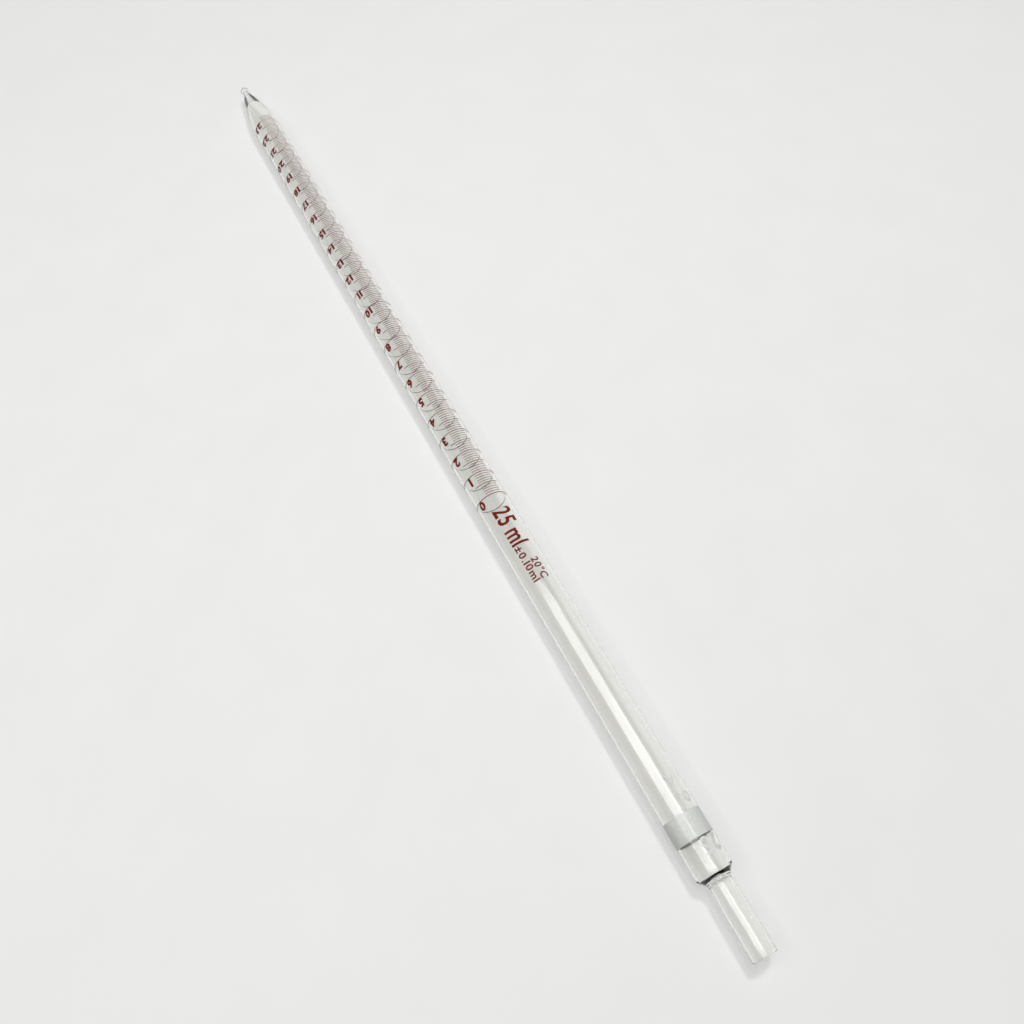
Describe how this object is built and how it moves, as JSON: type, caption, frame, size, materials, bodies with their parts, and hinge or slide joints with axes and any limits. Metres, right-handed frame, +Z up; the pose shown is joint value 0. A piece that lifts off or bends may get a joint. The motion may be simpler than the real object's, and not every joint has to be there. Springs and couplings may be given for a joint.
{
  "type": "serological pipette",
  "caption": "Graduated glass measuring pipette with a ringed scale, a colour band, a tapered jet at one end and a narrower mouthpiece at the other, lying on its side.",
  "frame": {"origin": "middle of the pipette's length, on the bench under its axis", "axes": "+X along the tube from the jet to the mouthpiece, +Z up from the bench it lies on, +Y across it, towards the upper ends of the scale's short marks"},
  "size_m": [0.45, 0.0126, 0.0125],
  "materials": {
    "clear_glass": "fire-polished",
    "white_enamel": "fired",
    "scale_enamel": "fired"
  },
  "bodies": {
    "root": {"glass_tube": "clear_glass", "colour_band": "white_enamel", "millilitre_rings": "scale_enamel", "half_millilitre_marks": "scale_enamel"}
  },
  "joints": []
}
